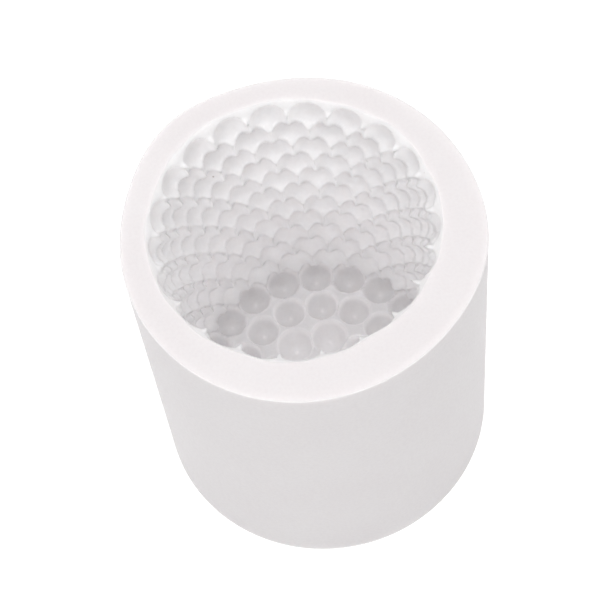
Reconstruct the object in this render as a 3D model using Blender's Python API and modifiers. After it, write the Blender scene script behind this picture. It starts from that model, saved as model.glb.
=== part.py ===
"""One-piece silicone candle mould: a plain round block, open at the top, whose cavity is
covered in rows of bead-shaped dimples. Metres, +Z up, origin at the middle of the base."""
import math

import bmesh
import bpy
from mathutils import Matrix, Vector

MM = 0.001

# The outer block.
OUTER_RADIUS = 40.0 * MM
HEIGHT = 90.0 * MM
OUTER_SIDES = 72
EDGE_ROUND = 0.7 * MM
EDGE_STEPS = 2

# The cavity: a core cylinder from the floor up, with a widened mouth at the rim.
CORE_RADIUS = 29.4 * MM
FLOOR_HEIGHT = 9.3 * MM
MOUTH_RADIUS = 32.4 * MM
MOUTH_DEPTH = 2.8 * MM
CUTTER_MARGIN = 1.5 * MM

# The cavity isn't quite central, and it leans a little from the floor to the rim.
CENTRE_AT_FLOOR = Vector((-0.1 * MM, 2.3 * MM))
CENTRE_AT_RIM = Vector((-1.5 * MM, 2.0 * MM))

# The wall's dimples: staggered rows of balls whose centres lie inside the core's surface.
# The lowest row sits in the corner between wall and floor.
DIMPLES_PER_ROW = 21
WALL_ROWS = 12
ROW_PITCH = 6.94 * MM
BALL_RADIUS = 4.55 * MM
BALL_CIRCLE_RADIUS = 28.6 * MM
FIRST_ANGLE = math.radians(85.0)
# The core's corners fall inside dimples, so each small land between dimples is one flat facet.
CORE_SIDES = 2 * DIMPLES_PER_ROW
CORE_TURN = FIRST_ANGLE + 0.5 * math.pi / DIMPLES_PER_ROW
BALL_SEGMENTS = 6
BALL_RINGS = 4
# Neighbouring balls are turned about their poles by unlike angles, so that no two are mirror
# images whose facets would meet edge on edge.
GROUP_SPIN = (math.radians(0.0), math.radians(14.0), math.radians(25.0))

# The floor's dimples: (count, ring radius, ball radius, angle of the first), from the middle out.
FLOOR_RINGS = (
    (1, 0.0 * MM, 4.5 * MM, math.radians(0.0)),
    (8, 11.5 * MM, 4.5 * MM, math.radians(118.0)),
    (15, 20.2 * MM, 4.1 * MM, math.radians(130.0)),
)

SILICONE_COLOUR = (0.83, 0.82, 0.80, 1.0)
SILICONE_ROUGHNESS = 0.45


def clear_scene():
    for item in list(bpy.data.objects):
        bpy.data.objects.remove(item, do_unlink=True)


def new_collection(name):
    collection = bpy.data.collections.new(name)
    bpy.context.scene.collection.children.link(collection)
    return collection


def silicone():
    """White translucent silicone rubber."""
    material = bpy.data.materials.new("silicone")
    material.use_nodes = True
    shader = material.node_tree.nodes["Principled BSDF"]
    shader.inputs["Base Color"].default_value = SILICONE_COLOUR
    shader.inputs["Roughness"].default_value = SILICONE_ROUGHNESS
    shader.inputs["Metallic"].default_value = 0.0
    return material


def lean():
    """A shear that carries the cavity's centre from its place at the floor to that at the rim."""
    slope = (CENTRE_AT_RIM - CENTRE_AT_FLOOR) / (HEIGHT - FLOOR_HEIGHT)
    matrix = Matrix.Identity(4)
    for axis in range(2):
        matrix[axis][2] = slope[axis]
        matrix[axis][3] = CENTRE_AT_FLOOR[axis] - slope[axis] * FLOOR_HEIGHT
    return matrix


def add_cone(shape, low, high, low_radius, high_radius, sides, turn=0.0):
    """Adds a closed cone or cylinder about the Z axis between two heights."""
    place = Matrix.Translation((0.0, 0.0, 0.5 * (low + high))) @ Matrix.Rotation(turn, 4, "Z")
    bmesh.ops.create_cone(
        shape, cap_ends=True, cap_tris=False, segments=sides,
        radius1=low_radius, radius2=high_radius, depth=high - low, matrix=place,
    )


def add_ball(shape, centre, outward, radius, spin=0.0):
    """Adds a ball whose pole points outward, so that its facets spread evenly in the dimple."""
    turn = Vector(outward).to_track_quat("Z", "Y").to_matrix().to_4x4()
    turn = turn @ Matrix.Rotation(spin, 4, "Z")
    bmesh.ops.create_uvsphere(
        shape, u_segments=BALL_SEGMENTS, v_segments=BALL_RINGS,
        radius=radius, matrix=Matrix.Translation(centre) @ turn,
    )


def mesh_object(name, shape, collection):
    mesh = bpy.data.meshes.new(name)
    shape.to_mesh(mesh)
    shape.free()
    item = bpy.data.objects.new(name, mesh)
    collection.objects.link(item)
    return item


def cutter_object(name, shape, collection):
    """Leans a cutter's shape as the cavity leans, and adds it as a hidden object."""
    shape.transform(lean())
    item = mesh_object(name, shape, collection)
    item.display_type = "WIRE"
    item.hide_render = True


def wall_balls(colour_group):
    """The balls of one of three groups, chosen so that no two balls in a group touch."""
    step = 2.0 * math.pi / DIMPLES_PER_ROW
    for row in range(WALL_ROWS):
        height = FLOOR_HEIGHT + ROW_PITCH * row
        stagger = 0.5 * (row % 2)
        for place in range(DIMPLES_PER_ROW):
            if (place + 2 * (row % 2)) % 3 != colour_group:
                continue
            angle = FIRST_ANGLE + step * (place + stagger)
            outward = Vector((math.cos(angle), math.sin(angle), 0.0))
            yield outward * BALL_CIRCLE_RADIUS + Vector((0.0, 0.0, height)), outward


def add_wall_cutter(colour_group, collection):
    shape = bmesh.new()
    for centre, outward in wall_balls(colour_group):
        add_ball(shape, centre, outward, BALL_RADIUS, GROUP_SPIN[colour_group])
    cutter_object(f"wall_dimples_{colour_group}", shape, collection)


def add_floor_cutter(collection):
    shape = bmesh.new()
    down = (0.0, 0.0, -1.0)
    for count, ring_radius, ball_radius, first in FLOOR_RINGS:
        for place in range(count):
            angle = first + 2.0 * math.pi * place / count
            spot = (ring_radius * math.cos(angle), ring_radius * math.sin(angle), FLOOR_HEIGHT)
            add_ball(shape, Vector(spot), down, ball_radius)
    cutter_object("floor_dimples", shape, collection)


def add_core_cutter(collection):
    shape = bmesh.new()
    top = HEIGHT + CUTTER_MARGIN
    add_cone(shape, FLOOR_HEIGHT, top, CORE_RADIUS, CORE_RADIUS, CORE_SIDES, CORE_TURN)
    cutter_object("core", shape, collection)


def add_mouth_cutter(collection):
    """A cone that widens the mouth, run on past the core's surface and past the rim."""
    slope = (MOUTH_RADIUS - CORE_RADIUS) / MOUTH_DEPTH
    low = HEIGHT - MOUTH_DEPTH - CUTTER_MARGIN
    high = HEIGHT + CUTTER_MARGIN
    low_radius = CORE_RADIUS - CUTTER_MARGIN * slope
    high_radius = MOUTH_RADIUS + CUTTER_MARGIN * slope
    shape = bmesh.new()
    add_cone(shape, low, high, low_radius, high_radius, CORE_SIDES, CORE_TURN)
    cutter_object("mouth", shape, collection)


def block(collection):
    """The plain outer block with softened top and bottom edges."""
    shape = bmesh.new()
    add_cone(shape, 0.0, HEIGHT, OUTER_RADIUS, OUTER_RADIUS, OUTER_SIDES)
    body = mesh_object("mould_body", shape, collection)
    soften = body.modifiers.new("soft_edges", "BEVEL")
    soften.width = EDGE_ROUND
    soften.segments = EDGE_STEPS
    soften.limit_method = "ANGLE"
    soften.angle_limit = math.radians(60.0)
    return body


def hollow_out(body, cutters):
    """Takes every cutter away from the block in one step."""
    step = body.modifiers.new("cavity", "BOOLEAN")
    step.operation = "DIFFERENCE"
    step.solver = "EXACT"
    step.operand_type = "COLLECTION"
    step.collection = cutters


def build():
    clear_scene()
    parts = new_collection("candle_mould")
    cutters = new_collection("cutters")
    add_core_cutter(cutters)
    add_mouth_cutter(cutters)
    for colour_group in range(3):
        add_wall_cutter(colour_group, cutters)
    add_floor_cutter(cutters)
    body = block(parts)
    hollow_out(body, cutters)
    body.data.materials.append(silicone())
    body.data.shade_smooth()
    body.data.set_sharp_from_angle(angle=math.radians(30.0))


build()
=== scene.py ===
"""A round, one-piece silicone candle mould on a pale floor, seen from above and in front."""
import math

import bpy
import numpy as np
from mathutils import Matrix, Vector


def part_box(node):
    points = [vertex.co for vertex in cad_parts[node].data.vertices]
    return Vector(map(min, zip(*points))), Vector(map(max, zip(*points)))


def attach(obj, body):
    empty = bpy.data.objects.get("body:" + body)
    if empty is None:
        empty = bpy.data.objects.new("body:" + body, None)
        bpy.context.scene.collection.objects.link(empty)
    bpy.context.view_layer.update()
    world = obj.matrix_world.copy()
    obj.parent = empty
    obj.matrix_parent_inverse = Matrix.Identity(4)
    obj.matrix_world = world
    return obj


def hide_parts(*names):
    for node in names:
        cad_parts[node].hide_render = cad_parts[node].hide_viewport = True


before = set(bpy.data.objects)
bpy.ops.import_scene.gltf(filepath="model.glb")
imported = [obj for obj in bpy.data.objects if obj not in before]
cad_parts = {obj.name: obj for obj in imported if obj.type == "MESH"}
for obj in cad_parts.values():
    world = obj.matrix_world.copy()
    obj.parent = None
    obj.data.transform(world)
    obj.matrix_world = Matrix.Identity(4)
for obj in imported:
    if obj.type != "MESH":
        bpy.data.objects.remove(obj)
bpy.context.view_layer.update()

MM = 0.001

# The block's size, from the frame.
low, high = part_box("mould_body")
TOP = high.z
OUTER_RADIUS = 0.5 * (high.x - low.x)

# The cavity, in its own frame: its axis is upright there, and lean() puts it in place.
CORE_RADIUS = 29.4 * MM
FLOOR_HEIGHT = 9.3 * MM
MOUTH_RADIUS = 32.4 * MM
MOUTH_DEPTH = 3.9 * MM
CENTRE_AT_FLOOR = np.array((-0.1 * MM, 2.3 * MM))
CENTRE_AT_RIM = np.array((-1.5 * MM, 2.0 * MM))

# The dimples: staggered rows of balls on the wall, and rings of balls on the floor.
DIMPLES_PER_ROW = 21
WALL_ROWS = 12
ROW_PITCH = 6.94 * MM
BALL_RADIUS = 4.55 * MM
LOWEST_BALL_RADIUS = 4.3 * MM
BALL_CIRCLE_RADIUS = 28.6 * MM
FIRST_ANGLE = math.radians(85.0)
FLOOR_RINGS = (
    (1, 0.0 * MM, 4.5 * MM, math.radians(0.0)),
    (8, 11.5 * MM, 4.5 * MM, math.radians(118.0)),
    (15, 20.2 * MM, 4.05 * MM, math.radians(130.0)),
)

# The soft block isn't quite round at the rim: an all-round inset, and broad swellings given as
# (angle, spread, height). They fade out down to the base.
RIM_INSET = 0.5 * MM
SWELLINGS = (
    (math.radians(128.0), math.radians(21.0), 1.9 * MM),
    (math.radians(343.0), math.radians(24.0), 1.0 * MM),
    (math.radians(258.0), math.radians(40.0), 0.7 * MM),
)

# The hand-cut mouth: slow waves in its radius as (count, height, phase), how softly it meets
# the core, and a torn burr of rubber on the tip of each land below it. Burrs differ by chance,
# and are larger on the torn side.
MOUTH_WAVES = (
    (3, 0.25 * MM, 1.1),
    (5, 0.20 * MM, 4.0),
    (8, 0.16 * MM, 2.3),
    (13, 0.12 * MM, 0.4),
    (22, 0.08 * MM, 5.2),
)
SOFT_MOUTH = 0.3 * MM
BURR_HEIGHT = 87.0 * MM
BURR_HEIGHT_CHANCE = 0.3 * MM
BURR_PLACE_CHANCE = 0.08
BURR_SPREAD = 0.5 * MM
BURR_SIZES = (0.8 * MM, 1.7 * MM)
TORN_SIDE = math.radians(345.0)
TORN_SPREAD = math.radians(35.0)
TORN_SIZE = 0.7 * MM
# The burrs are painted pale as a painted highlight: the painted shade fades out over this much
# burr.
BURR_HIGHLIGHT_SPAN = 0.2 * MM
BURR_SEED = 7

# The floor's dimples have a painted highlight round their edge, and a small nub at the bottom of
# each, painted paler as a painted highlight.
OUTLINE_WIDTH = 0.32 * MM
OUTLINE_HIGHLIGHT = 0.9
NUB_WIDTH = 0.45 * MM
NUB_HEIGHT = 0.30 * MM
NUB_HIGHLIGHT = 0.5
FINISH_REACH = 0.5 * MM

# How softly two dimples meet, and how round the block's edges are.
BLUNT = 0.04 * MM
EDGE_ROUND = 0.2 * MM
LIP_ROUND = 0.35 * MM

LIGHT_SILICONE = (0.972, 0.966, 0.968, 1.0)
# The grey that the painted shade mixes the pale silicone towards.
PAINTED_SHADE_GREY = (0.598, 0.602, 0.606, 1.0)
OUTSIDE_TINT = (1.0, 0.968, 0.970, 1.0)
CLOUD_TINT = (0.985, 0.980, 0.982, 1.0)
GRAIN_TINT = (0.975, 0.970, 0.972, 1.0)
DUST_COLOUR = (0.42, 0.36, 0.33, 1.0)

# The silicone's surface: noise scales per metre, roughness, relief and scatter lengths.
CLOUD_SCALE = 45.0
GRAIN_SCALE = 1400.0
DUST_SCALE = 75.0
DUST_SIZE = (0.020, 0.032)
ROUGHNESS = (0.44, 0.56)
RELIEF_STRENGTH = 0.12
RELIEF_DEPTH = 0.3 * MM
SCATTER_TINT = (1.0, 0.97, 0.95)
SCATTER_INSIDE = 7.0 * MM
SCATTER_OUTSIDE = 3.0 * MM
SHEEN = 0.05
SPECULAR = 0.15

# How grey each kind of surface is painted, from 0, pale, to 1, grey. This is painted shade: the
# dimples, the floor's rings and the web are painted greyer than the lands, as shade in the
# hollows,
# and the outside, rim and mouth are painted greyer to offset the light that falls on them. In
# order:
# the wall's dimples from the floor up, its lowest row, the floor's rings from the middle, the
# web between them, the outside, the rim and the widened mouth. The wall's lands are 0.
WALL_SHADES = (0.00, 0.38, 0.46)
LOWEST_ROW_SHADE = 0.43
FLOOR_SHADES = (0.35, 0.40, 0.51)
WEB_SHADE = 0.52
OUTSIDE_SHADE = 0.97
RIM_SHADE = 0.82
MOUTH_SHADE = 0.58
# Painted shading within the dimples as (how far from the ridges they stay paler, a painted
# highlight on the ridges; how much greyer their low side is, painted shade on the side facing up
# to the light): on the wall, and on the floor.
WALL_SHADING = (1.2 * MM, 0.7)
FLOOR_SHADING = (0.3 * MM, 0.0)

# The mesh: a closed sheet of rows, each once round the mould.
ROUND_STEPS = DIMPLES_PER_ROW * 24
WALL_STEP = 0.3 * MM
FLOOR_STEP = 0.2 * MM
CORNER_INSET = 6.0 * MM
CORNER_RISE = 4.8 * MM
EDGE_STEPS = 4
LIP_STEPS = 3
RIM_STEPS = 6
SIDE_STEPS = 20
BASE_SHARES = (0.01, 0.3, 0.6, 0.85)
RIM_BLEND = 0.3 * MM
# Only balls within this many radii of a row's height are tried.
NEAR_BALLS = 2.5

# The pale floor, the studio and the camera.
FLOOR_SIZE = 6.0
FLOOR_GAP = 0.2 * MM
FLOOR_GREY = (0.55, 0.55, 0.55, 1.0)
FLOOR_GLOW = 0.6
WHITE = (1.0, 1.0, 1.0, 1.0)
STUDIO_COLOUR = (1.0, 0.98, 0.98, 1.0)
STUDIO_STRENGTH = 0.45
# (name, place, height that it's aimed at, diameter, watts)
LIGHTS = (
    ("overhead", (0.0, 0.0, 0.8), 0.05, 0.45, 1.5),
    ("back", (0.0, 0.45, 0.75), 0.06, 0.6, 1.7),
    ("front_left", (-0.36, -0.40, 0.78), 0.06, 0.6, 3.1),
    ("front_right", (0.36, -0.40, 0.78), 0.06, 0.6, 2.3),
)
CAMERA_PLACE = (-0.00253, -0.21815, 0.48787)
CAMERA_ELEVATION = math.radians(63.096)
CAMERA_ROLL = -0.15955
CAMERA_LENS = 125.93
CAMERA_SENSOR = 36.0
# Light bounces many times between the pale walls of the cavity.
DIFFUSE_BOUNCES = 16
ALL_BOUNCES = 20


def turns():
    return FIRST_ANGLE + np.arange(ROUND_STEPS) * (2.0 * math.pi / ROUND_STEPS)


def outward():
    """Unit vectors from the axis, one for each step round the mould."""
    angle = turns()
    return np.stack([np.cos(angle), np.sin(angle), np.zeros_like(angle)], axis=1)


def ring(radius, height):
    """One row of points; radius and height may each be a number or an array."""
    points = outward() * np.reshape(radius, (-1, 1))
    points[:, 2] = height
    return points


def shaded(points, painted_shade, outside=0.0):
    """A row of points with each one's painted shade, and whether it's outside, as extra columns.
    """
    count = len(points)
    return np.column_stack([points, np.broadcast_to(painted_shade, count), np.full(count, outside)])


def lean(points):
    """Carries cavity points to their place: the cavity is off centre and leans a little."""
    share = (points[:, 2:3] - FLOOR_HEIGHT) / (TOP - FLOOR_HEIGHT)
    moved = points.copy()
    moved[:, :2] += CENTRE_AT_FLOOR + share * (CENTRE_AT_RIM - CENTRE_AT_FLOOR)
    return moved


def wall_balls():
    """Centres, radii and painted shades of the wall's dimple balls."""
    step = 2.0 * math.pi / DIMPLES_PER_ROW
    centres = []
    for row in range(WALL_ROWS):
        angle = FIRST_ANGLE + step * (np.arange(DIMPLES_PER_ROW) + 0.5 * (row % 2))
        height = np.full_like(angle, FLOOR_HEIGHT + ROW_PITCH * row)
        across = BALL_CIRCLE_RADIUS * np.cos(angle)
        along = BALL_CIRCLE_RADIUS * np.sin(angle)
        centres.append(np.stack([across, along, height], axis=1))
    centres = np.concatenate(centres)
    lowest = centres[:, 2] < FLOOR_HEIGHT + 0.5 * ROW_PITCH
    radii = np.where(lowest, LOWEST_BALL_RADIUS, BALL_RADIUS)
    levels = np.linspace(FLOOR_HEIGHT, TOP, len(WALL_SHADES))
    wall_shade = np.interp(centres[:, 2], levels, WALL_SHADES)
    return centres, radii, np.where(lowest, LOWEST_ROW_SHADE, wall_shade)


def floor_balls():
    """Centres, radii and painted shades of the floor's dimple balls."""
    centres = []
    radii = []
    shades = []
    for (count, ring_radius, ball_radius, first), painted_shade in zip(FLOOR_RINGS, FLOOR_SHADES):
        for place in range(count):
            angle = first + 2.0 * math.pi * place / count
            centres.append(
                (ring_radius * math.cos(angle), ring_radius * math.sin(angle), FLOOR_HEIGHT)
            )
            radii.append(ball_radius)
            shades.append(painted_shade)
    return np.array(centres), np.array(radii), np.array(shades)


def all_balls():
    return [np.concatenate(pair) for pair in zip(wall_balls(), floor_balls())]


def cavity_row(start, direction, reach, balls, land_shade, shading):
    """Where rays from open air reach silicone: at the plain cavity's surface, or on through
    any ball that they enter before that. Ridges between them are blunted, and painted paler as a
    painted highlight."""
    centres, radii, shades = balls
    reach = np.broadcast_to(reach, len(start))
    near = np.abs(centres[:, 2] - start[:, 2].mean()) < NEAR_BALLS * BALL_RADIUS
    gap = centres[near][None] - start[:, None]
    along = np.einsum("rbk,rk->rb", gap, direction)
    square = radii[near] ** 2 - (gap**2).sum(axis=2) + along**2
    half = np.sqrt(np.maximum(square, 0.0))
    entered = (square > 0.0) & (along - half < reach[:, None])
    exits = np.where(entered, along + half, -1.0)
    exits = np.concatenate([reach[:, None], exits], axis=1)
    longest = exits.max(axis=1)
    share = np.exp((exits - longest[:, None]) / BLUNT)
    total = share.sum(axis=1)
    distance = longest + BLUNT * np.log(total)
    points = start + direction * distance[:, None]
    # Painted shade: each ball's grey, greyer on its low side, and fading to pale near the ridges
    # as a painted highlight.
    drop = np.clip((centres[near, 2] - points[:, 2:]) / radii[near], -1.0, 1.0)
    grey = shades[near] * (1.0 + shading[1] * drop)
    mixture = np.exp((exits - longest[:, None]) / shading[0])
    alone = (mixture**2).sum(axis=1) / mixture.sum(axis=1) ** 2
    painted_shade = (share[:, 1:] * grey).sum(axis=1) * np.clip(2.0 * alone - 1.0, 0.0, 1.0)
    return shaded(points, (painted_shade + share[:, 0] * land_shade) / total)


def turn_between(angle, other):
    """The signed turn from one angle to another, the short way round."""
    return (angle - other + math.pi) % (2.0 * math.pi) - math.pi


def bump(angle, centre, spread):
    """A smooth bump of height 1 about an angle."""
    return np.exp(-((turn_between(angle, centre) / spread) ** 2))


def outer_radius(height):
    """The block's radius all round at a height."""
    angle = turns()
    swelling = sum(tall * bump(angle, centre, spread) for centre, spread, tall in SWELLINGS)
    return OUTER_RADIUS + (swelling - RIM_INSET) * (height / TOP)


def make_burrs():
    """(angle, height, size) of the burr on each land under the mouth, larger where torn."""
    chance = np.random.default_rng(BURR_SEED)
    step = 2.0 * math.pi / DIMPLES_PER_ROW
    angle = FIRST_ANGLE + step * np.arange(DIMPLES_PER_ROW)
    aside = BURR_PLACE_CHANCE * chance.uniform(-1.0, 1.0, DIMPLES_PER_ROW)
    angle = angle + aside * step
    height = BURR_HEIGHT + BURR_HEIGHT_CHANCE * chance.uniform(-1.0, 1.0, DIMPLES_PER_ROW)
    size = chance.uniform(*BURR_SIZES, DIMPLES_PER_ROW)
    size = size + TORN_SIZE * bump(angle, TORN_SIDE, TORN_SPREAD)
    return list(zip(angle, height, size))


def mouth_reach(height):
    """The plain cavity's radius all round at a height: the core, widened to a wavy cone at
    the mouth."""
    angle = turns()
    waves = sum(tall * np.sin(count * angle + phase) for count, tall, phase in MOUTH_WAVES)
    edge = MOUTH_RADIUS + waves
    cone = edge + (height - TOP) * (edge - CORE_RADIUS) / MOUTH_DEPTH
    return np.logaddexp(CORE_RADIUS / SOFT_MOUTH, cone / SOFT_MOUTH) * SOFT_MOUTH


def add_burrs(row, height, burrs):
    """Pulls a wall row in where burrs stick out of it, and fades the painted shade there, a
    painted highlight on the burrs.
    """
    angle = turns()
    tall = np.zeros_like(angle)
    for centre, level, size in burrs:
        fade = math.exp(-(((height - level) / BURR_SPREAD) ** 2))
        tall = tall + size * fade * bump(angle, centre, BURR_SPREAD / CORE_RADIUS)
    row[:, :3] -= outward() * tall[:, None]
    row[:, 3] *= np.exp(-tall / BURR_HIGHLIGHT_SPAN)
    return row


def wall_rows(balls):
    """Rays level out from the axis, from the lip down to the foot of the wall."""
    low = FLOOR_HEIGHT + CORNER_RISE
    high = TOP - LIP_ROUND
    count = int(round((high - low) / WALL_STEP))
    burrs = make_burrs()
    rows = []
    for k in range(count + 1):
        height = high + (low - high) * k / count
        share = min(1.0, max(0.0, (height - TOP + MOUTH_DEPTH) / (0.5 * MOUTH_DEPTH)))
        reach = mouth_reach(height)
        land_shade = share * MOUTH_SHADE
        row = cavity_row(ring(0.0, height), outward(), reach, balls, land_shade, WALL_SHADING)
        rows.append(add_burrs(row, height, burrs))
    return rows


def floor_finish(row, balls):
    """Adds the painted highlight round each dimple in the floor, and its nub, raised and painted
    paler as a painted highlight, to a row near it.
    """
    centres, radii = balls[:2]
    level = centres[:, 2] < FLOOR_HEIGHT + 0.5 * ROW_PITCH
    gap = row[:, None, :2] - centres[None, level, :2]
    away = np.hypot(gap[:, :, 0], gap[:, :, 1])
    on_floor = row[:, 2] < FLOOR_HEIGHT + FINISH_REACH
    # Painted highlights: a pale ring at each floor dimple's edge, and a pale spot on its nub.
    edge = np.exp(-(((away - radii[level]) / OUTLINE_WIDTH) ** 2)).max(axis=1) * on_floor
    nub = np.exp(-((away / NUB_WIDTH) ** 2)).max(axis=1) * on_floor
    row[:, 2] += NUB_HEIGHT * nub
    row[:, 3] *= (1.0 - OUTLINE_HIGHLIGHT * edge) * (1.0 - NUB_HIGHLIGHT * nub)
    return row


def corner_rows(balls):
    """Rays that swing down from level to upright about a circle near the foot of the wall."""
    pivot = ring(CORE_RADIUS - CORNER_INSET, FLOOR_HEIGHT + CORNER_RISE)
    path = CORNER_RISE + CORNER_INSET
    count = int(round(path / WALL_STEP))
    rows = []
    for k in range(1, count + 1):
        gone = path * k / count
        side = CORNER_INSET - max(0.0, gone - CORNER_RISE)
        drop = min(gone, CORNER_RISE)
        reach = math.hypot(side, drop)
        direction = outward() * (side / reach)
        direction[:, 2] = -drop / reach
        land_shade = WEB_SHADE * max(0.0, gone - CORNER_RISE) / CORNER_INSET
        pairs = zip(WALL_SHADING, FLOOR_SHADING)
        shading = [np.interp(gone, (0.0, path), pair) for pair in pairs]
        row = cavity_row(pivot, direction, reach, balls, land_shade, shading)
        rows.append(floor_finish(row, balls))
    return rows


def floor_rows(balls):
    """Rays straight down onto the floor, ring by ring towards the middle."""
    widest = CORE_RADIUS - CORNER_INSET
    count = int(round(widest / FLOOR_STEP))
    rows = []
    for k in range(1, count):
        start = ring(widest * (1.0 - k / count), FLOOR_HEIGHT + CORNER_RISE)
        direction = np.zeros_like(start)
        direction[:, 2] = -1.0
        row = cavity_row(start, direction, CORNER_RISE, balls, WEB_SHADE, FLOOR_SHADING)
        rows.append(floor_finish(row, balls))
    return rows


def quarter(steps):
    """Angles from 0 to 90 degrees."""
    return np.linspace(0.0, 0.5 * math.pi, steps + 1)


def outer_rows():
    """From the base's middle out, up the side and in over the rim to its flat face."""
    rows = [ring(OUTER_RADIUS * share, 0.0) for share in BASE_SHARES]
    for angle in quarter(EDGE_STEPS):
        height = EDGE_ROUND * (1.0 - math.cos(angle))
        inset = EDGE_ROUND * (1.0 - math.sin(angle))
        rows.append(ring(outer_radius(height) - inset, height))
    low = EDGE_ROUND
    high = TOP - EDGE_ROUND
    for k in range(1, SIDE_STEPS):
        height = low + (high - low) * k / SIDE_STEPS
        rows.append(ring(outer_radius(height), height))
    rows = [shaded(row, OUTSIDE_SHADE, 1.0) for row in rows]
    for angle in quarter(EDGE_STEPS):
        height = high + EDGE_ROUND * math.sin(angle)
        inset = EDGE_ROUND * (1.0 - math.cos(angle))
        row = ring(outer_radius(height) - inset, height)
        rows.append(shaded(row, OUTSIDE_SHADE, 1.0))
    rows.append(shaded(row - outward() * RIM_BLEND, RIM_SHADE, 1.0))
    return rows


def lip_rows(mouth):
    """Rounds the mouth's edge over from the rim's flat face to the first wall row."""
    rows = []
    for angle in quarter(LIP_STEPS)[:-1]:
        spread = LIP_ROUND * (1.0 - math.sin(angle))
        row = mouth[:, :3] + outward() * spread
        row[:, 2] = TOP - LIP_ROUND * (1.0 - math.cos(angle))
        painted_shade = MOUTH_SHADE + (RIM_SHADE - MOUTH_SHADE) * math.cos(angle)
        rows.append(shaded(row, painted_shade, math.cos(angle)))
    return rows


def mould_rows():
    balls = all_balls()
    wall = wall_rows(balls)
    lip = lip_rows(wall[0])
    cavity = [lean(row) for row in lip + wall + corner_rows(balls) + floor_rows(balls)]
    outer = outer_rows()
    start = outer[-1]
    end = cavity[0]
    rim = [start + (end - start) * k / RIM_STEPS for k in range(1, RIM_STEPS)]
    return outer + rim + cavity


def sheet_mesh(name, rows):
    """A closed mesh from rows of points, each joined to the next, with its two ends closed."""
    points = np.concatenate(rows)
    count = len(rows)
    first = np.arange(ROUND_STEPS)
    following = (first + 1) % ROUND_STEPS
    faces = []
    for k in range(count - 1):
        low = k * ROUND_STEPS
        high = low + ROUND_STEPS
        quads = np.stack([low + first, low + following, high + following, high + first], axis=1)
        faces.extend(quads.tolist())
    start_middle = len(points)
    last = (count - 1) * ROUND_STEPS
    middles = np.stack([rows[0].mean(axis=0), rows[-1].mean(axis=0)])
    points = np.concatenate([points, middles])
    for a, b in zip(first.tolist(), following.tolist()):
        faces.append((start_middle, b, a))
        faces.append((start_middle + 1, last + a, last + b))
    mesh = bpy.data.meshes.new(name)
    mesh.from_pydata(points[:, :3].tolist(), [], faces)
    # The painted shade, and whether each point is outside, go to the material as attributes.
    for label, column in (("painted_shade", 3), ("outside", 4)):
        layer = mesh.attributes.new(label, "FLOAT", "POINT")
        layer.data.foreach_set("value", points[:, column])
    mesh.update()
    return mesh


def node(tree, kind, **values):
    made = tree.nodes.new(kind)
    for key, value in values.items():
        setattr(made, key, value)
    return made


def noise(tree, place, scale, detail):
    made = node(tree, "ShaderNodeTexNoise")
    made.inputs["Scale"].default_value = scale
    made.inputs["Detail"].default_value = detail
    tree.links.new(place, made.inputs["Vector"])
    return made.outputs["Fac"]


def remap(tree, value, span, result):
    """Maps a value from one span to another, held at its ends."""
    made = node(tree, "ShaderNodeMapRange")
    for name, number in zip(("From Min", "From Max", "To Min", "To Max"), span + result):
        made.inputs[name].default_value = number
    tree.links.new(value, made.inputs["Value"])
    return made.outputs["Result"]


def mixed(tree, factor, first, second, blend="MIX"):
    """A mix of two colours, each given as a colour or a socket."""
    made = node(tree, "ShaderNodeMix", data_type="RGBA", blend_type=blend)
    tree.links.new(factor, made.inputs["Factor"])
    for name, value in (("A", first), ("B", second)):
        socket = next(i for i in made.inputs if i.name == name and i.type == "RGBA")
        if isinstance(value, tuple):
            socket.default_value = value
        else:
            tree.links.new(value, socket)
    return next(o for o in made.outputs if o.type == "RGBA")


def silicone_colour(tree, place, outside, grain):
    """Pale to grey as the painted shade attribute says, which holds painted shade and painted
    highlights, with cloudy patches, a fine grain and, in the cavity, a few dark specks of dust."""
    painted_shade = node(tree, "ShaderNodeAttribute", attribute_name="painted_shade").outputs["Fac"]
    colour = mixed(tree, painted_shade, LIGHT_SILICONE, PAINTED_SHADE_GREY)
    colour = mixed(tree, outside, colour, OUTSIDE_TINT, "MULTIPLY")
    clouds = remap(tree, noise(tree, place, CLOUD_SCALE, 3.0), (0.35, 0.65), (0.0, 1.0))
    colour = mixed(tree, clouds, colour, CLOUD_TINT, "MULTIPLY")
    grain_share = remap(tree, grain, (0.40, 0.70), (0.0, 1.0))
    colour = mixed(tree, grain_share, colour, GRAIN_TINT, "MULTIPLY")
    spots = node(tree, "ShaderNodeTexVoronoi")
    spots.inputs["Scale"].default_value = DUST_SCALE
    tree.links.new(place, spots.inputs["Vector"])
    dust = remap(tree, spots.outputs["Distance"], DUST_SIZE, (1.0, 0.0))
    speck = mixed(tree, outside, DUST_COLOUR, colour)
    return mixed(tree, dust, colour, speck)


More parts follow.
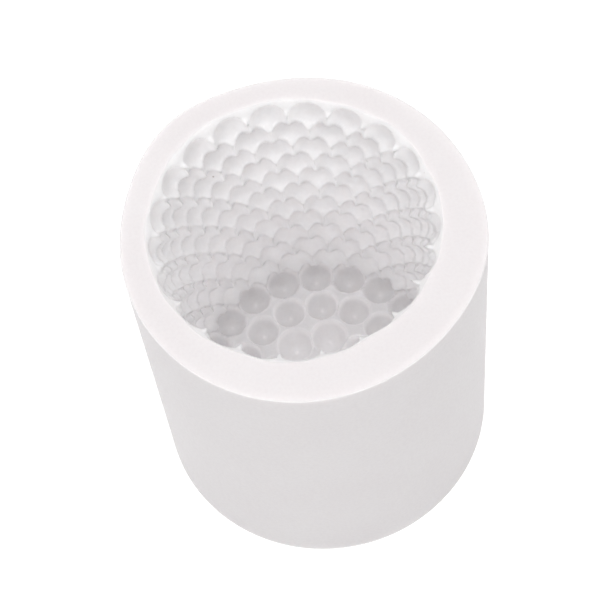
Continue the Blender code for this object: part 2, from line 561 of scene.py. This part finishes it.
def silicone_material():
    """White, slightly translucent silicone rubber."""
    material = bpy.data.materials.new("white_silicone")
    material.use_nodes = True
    tree = material.node_tree
    shader = tree.nodes["Principled BSDF"]
    place = node(tree, "ShaderNodeTexCoord").outputs["Object"]
    outside = node(tree, "ShaderNodeAttribute", attribute_name="outside").outputs["Fac"]
    grain = noise(tree, place, GRAIN_SCALE, 4.0)
    colour = silicone_colour(tree, place, outside, grain)
    tree.links.new(colour, shader.inputs["Base Color"])
    roughness = remap(tree, grain, (0.3, 0.7), ROUGHNESS)
    tree.links.new(roughness, shader.inputs["Roughness"])
    relief = node(tree, "ShaderNodeBump")
    relief.inputs["Strength"].default_value = RELIEF_STRENGTH
    relief.inputs["Distance"].default_value = RELIEF_DEPTH
    tree.links.new(grain, relief.inputs["Height"])
    tree.links.new(relief.outputs["Normal"], shader.inputs["Normal"])
    shader.inputs["Subsurface Weight"].default_value = 1.0
    shader.inputs["Subsurface Radius"].default_value = SCATTER_TINT
    scatter = remap(tree, outside, (0.0, 1.0), (SCATTER_INSIDE, SCATTER_OUTSIDE))
    tree.links.new(scatter, shader.inputs["Subsurface Scale"])
    shader.inputs["Specular IOR Level"].default_value = SPECULAR
    shader.inputs["Sheen Weight"].default_value = SHEEN
    return material


def add_mould():
    mould = bpy.data.objects.new("silicone_mould", sheet_mesh("silicone_mould", mould_rows()))
    bpy.context.scene.collection.objects.link(mould)
    mould.data.materials.append(silicone_material())
    mould.data.shade_smooth()
    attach(mould, "root")
    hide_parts("mould_body")


def add_floor():
    bpy.ops.mesh.primitive_plane_add(size=FLOOR_SIZE, location=(0.0, 0.0, -FLOOR_GAP))
    floor = bpy.context.object
    floor.name = "floor"
    material = bpy.data.materials.new("pale_floor")
    material.use_nodes = True
    shader = material.node_tree.nodes["Principled BSDF"]
    shader.inputs["Base Color"].default_value = FLOOR_GREY
    shader.inputs["Roughness"].default_value = 0.9
    shader.inputs["Emission Color"].default_value = WHITE
    shader.inputs["Emission Strength"].default_value = FLOOR_GLOW
    floor.data.materials.append(material)


def add_studio():
    world = bpy.data.worlds.new("studio")
    world.use_nodes = True
    background = world.node_tree.nodes["Background"]
    background.inputs["Color"].default_value = STUDIO_COLOUR
    background.inputs["Strength"].default_value = STUDIO_STRENGTH
    bpy.context.scene.world = world


def add_light(name, place, aimed_at, diameter, watts):
    """A round area light, aimed at a height on the mould's axis."""
    data = bpy.data.lights.new(name, "AREA")
    data.shape = "DISK"
    data.size = diameter
    data.energy = watts
    light = bpy.data.objects.new(name, data)
    light.location = place
    aim = Vector((0.0, 0.0, aimed_at)) - Vector(place)
    light.rotation_euler = aim.to_track_quat("-Z", "Y").to_euler()
    bpy.context.scene.collection.objects.link(light)


def add_camera():
    data = bpy.data.cameras.new("camera")
    data.sensor_width = CAMERA_SENSOR
    data.lens = CAMERA_LENS
    camera = bpy.data.objects.new("camera", data)
    bpy.context.scene.collection.objects.link(camera)
    tilt = Matrix.Rotation(0.5 * math.pi - CAMERA_ELEVATION, 4, "X")
    roll = Matrix.Rotation(CAMERA_ROLL, 4, "Z")
    camera.matrix_world = Matrix.Translation(CAMERA_PLACE) @ tilt @ roll
    bpy.context.scene.camera = camera


add_mould()
add_floor()
add_studio()
for light in LIGHTS:
    add_light(*light)
add_camera()
bpy.context.scene.view_settings.view_transform = "Standard"
bpy.context.scene.cycles.diffuse_bounces = DIFFUSE_BOUNCES
bpy.context.scene.cycles.max_bounces = ALL_BOUNCES
